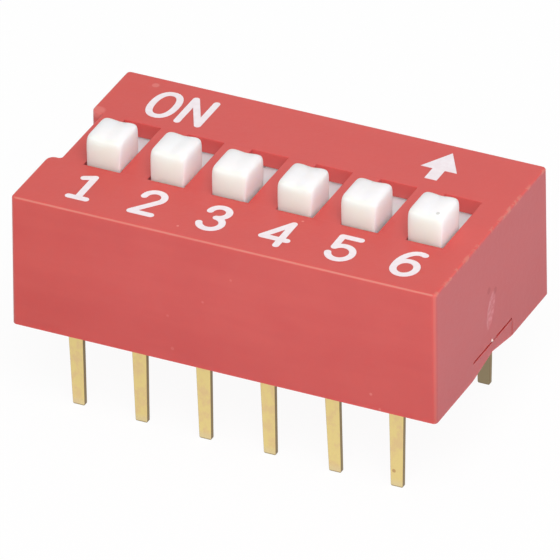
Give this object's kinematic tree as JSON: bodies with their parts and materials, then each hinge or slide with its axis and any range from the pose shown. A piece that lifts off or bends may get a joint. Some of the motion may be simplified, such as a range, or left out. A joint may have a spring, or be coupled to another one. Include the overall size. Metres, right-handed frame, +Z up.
{
  "type": "dip switch",
  "caption": "Slide DIP switch for a circuit board: red moulded housing with numbered white sliders and rows of gold-plated pins.",
  "frame": {"origin": "centre of the housing's seating face, midway between the two rows of pins", "axes": "+X along the row from switch 1 to switch 6, +Y from the numbers to the ON side, +Z up out of the board"},
  "size_m": [0.0168, 0.0098, 0.0103],
  "materials": {
    "housing_red": "fine satin moulded polyester",
    "base_red": "fine satin moulded polyester",
    "knob_white": "soft satin nylon, slightly translucent",
    "pin_gold": "thin gold plating over copper alloy, satin",
    "spring_gold": "gold-plated spring strip",
    "print_white": "thin printed ink, satin"
  },
  "bodies": {
    "housing": {"cover": "housing_red", "base": "base_red", "front_terminal_1": "pin_gold", "front_terminal_2": "pin_gold", "front_terminal_3": "pin_gold", "front_terminal_4": "pin_gold", "front_terminal_5": "pin_gold", "front_terminal_6": "pin_gold", "rear_terminal_1": "pin_gold", "rear_terminal_2": "pin_gold", "rear_terminal_3": "pin_gold", "rear_terminal_4": "pin_gold", "rear_terminal_5": "pin_gold", "rear_terminal_6": "pin_gold"},
    "switch_1": {"actuator_1": "knob_white", "bridge_contact_1": "spring_gold"},
    "switch_2": {"actuator_2": "knob_white", "bridge_contact_2": "spring_gold"},
    "switch_3": {"actuator_3": "knob_white", "bridge_contact_3": "spring_gold"},
    "switch_4": {"actuator_4": "knob_white", "bridge_contact_4": "spring_gold"},
    "switch_5": {"actuator_5": "knob_white", "bridge_contact_5": "spring_gold"},
    "switch_6": {"actuator_6": "knob_white", "bridge_contact_6": "spring_gold"}
  },
  "joints": [
    {"name": "switch_1_slide", "type": "slide", "parent": "housing", "child": "switch_1", "axis": [0, 1, 0], "range_m": [0, 0.00185]},
    {"name": "switch_2_slide", "type": "slide", "parent": "housing", "child": "switch_2", "axis": [0, 1, 0], "range_m": [0, 0.00185]},
    {"name": "switch_3_slide", "type": "slide", "parent": "housing", "child": "switch_3", "axis": [0, 1, 0], "range_m": [0, 0.00185]},
    {"name": "switch_4_slide", "type": "slide", "parent": "housing", "child": "switch_4", "axis": [0, 1, 0], "range_m": [0, 0.00185]},
    {"name": "switch_5_slide", "type": "slide", "parent": "housing", "child": "switch_5", "axis": [0, 1, 0], "range_m": [0, 0.00185]},
    {"name": "switch_6_slide", "type": "slide", "parent": "housing", "child": "switch_6", "axis": [0, 1, 0], "range_m": [0, 0.00185]}
  ]
}
